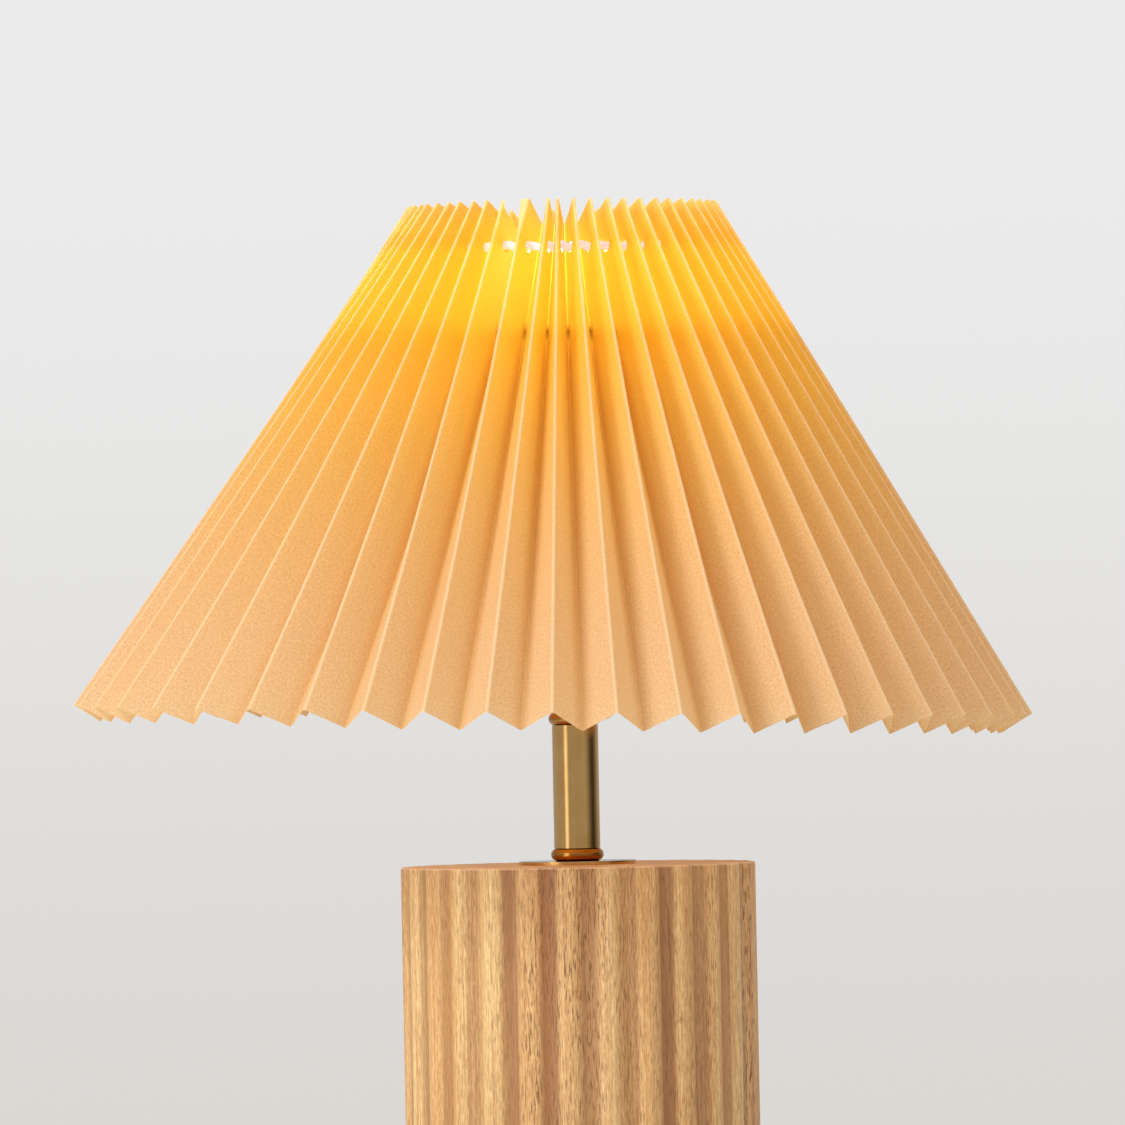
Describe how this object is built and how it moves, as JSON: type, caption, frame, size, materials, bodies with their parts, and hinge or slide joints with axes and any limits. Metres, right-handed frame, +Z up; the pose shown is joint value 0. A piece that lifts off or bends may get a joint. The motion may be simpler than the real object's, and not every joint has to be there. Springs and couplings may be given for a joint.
{
  "type": "table lamp",
  "caption": "Table lamp with a fluted wooden base, a short brass stem and a pleated cone shade that lifts off its wire carrier.",
  "frame": {"origin": "centre of the base's underside, on the table", "axes": "+Z up along the stem, -Y towards the front, +Y towards the cord inlet"},
  "size_m": [0.319, 0.3196, 0.3723],
  "materials": {
    "felt": "matte felt",
    "fibreboard": "raw",
    "steel": "zinc plated",
    "wood": "light matte oil over open grain",
    "rubber": "matte",
    "iron": "rough",
    "terminal_plastic": "matte",
    "brown_insulation": "satin",
    "blue_insulation": "satin",
    "brass": "satin, brushed round the stem",
    "holder_plastic": "matte",
    "ceramic": "unglazed",
    "nickel": "bright",
    "contact_brass": "bright",
    "carrier_paint": "satin white",
    "shade_paper": "translucent, lit from inside",
    "string": "soft twisted cord",
    "bulb_diffuser": "opal",
    "bulb_plastic": "satin",
    "board_metal": "matte",
    "led_phosphor": "domed",
    "circuit_board": "matte",
    "cap_metal": "rolled",
    "black_glass": "glossy"
  },
  "bodies": {
    "lamp_base": {"foot_pad": "felt", "bottom_cover": "fibreboard", "cover_screws": "steel", "base_body": "wood", "cord_bush": "rubber", "weight_plate": "iron", "rod_washer": "steel", "rod_nut": "steel", "threaded_rod": "steel", "terminal_block": "terminal_plastic", "block_screw": "steel", "lead_live": "brown_insulation", "lead_neutral": "blue_insulation", "top_disc": "brass", "lower_collar": "brass", "stem_tube": "brass", "upper_collar": "brass", "neck_sleeve": "brass", "holder_cap": "holder_plastic", "holder_skirt": "holder_plastic", "contact_block": "ceramic", "terminal_screws": "steel", "screw_shell": "nickel", "centre_contact": "contact_brass", "side_contact": "contact_brass"},
    "carrier": {"carrier_hub": "carrier_paint", "carrier_spokes": "carrier_paint", "carrier_ring": "carrier_paint"},
    "washer": {"ring_washer": "steel"},
    "ring": {"shade_ring": "holder_plastic"},
    "shade": {"shade_sheet": "shade_paper", "drawstring": "string", "drawstring_knot": "string"},
    "bulb": {"bulb_dome": "bulb_diffuser", "bulb_housing": "bulb_plastic", "led_board": "board_metal", "led_chips": "led_phosphor", "driver_board": "circuit_board", "bulb_cap": "cap_metal", "cap_insulator": "black_glass", "cap_contact": "contact_brass"}
  },
  "joints": [
    {"name": "shade_turn", "type": "hinge", "parent": "lamp_base", "child": "carrier", "pos_m": [0, 0, 0.257], "axis": [0, 0, 1], "continuous": true},
    {"name": "shade_lift", "type": "slide", "parent": "carrier", "child": "shade", "axis": [0, 0, 1], "range_m": [0, 0.18]},
    {"name": "ring_lift", "type": "slide", "parent": "lamp_base", "child": "washer", "axis": [0, 0, 1], "range_m": [0, 0.01]},
    {"name": "ring_turn", "type": "hinge", "parent": "washer", "child": "ring", "pos_m": [0, 0, 0.262], "axis": [0, 0, 1], "range_deg": [0, 1440]},
    {"name": "bulb_lift", "type": "slide", "parent": "lamp_base", "child": "bulb", "axis": [0, 0, 1], "range_m": [0, 0.13]}
  ],
  "couplings": [
    {"joint": "ring_lift", "follows": "ring_turn", "m_per_rad": 0.00039789}
  ]
}
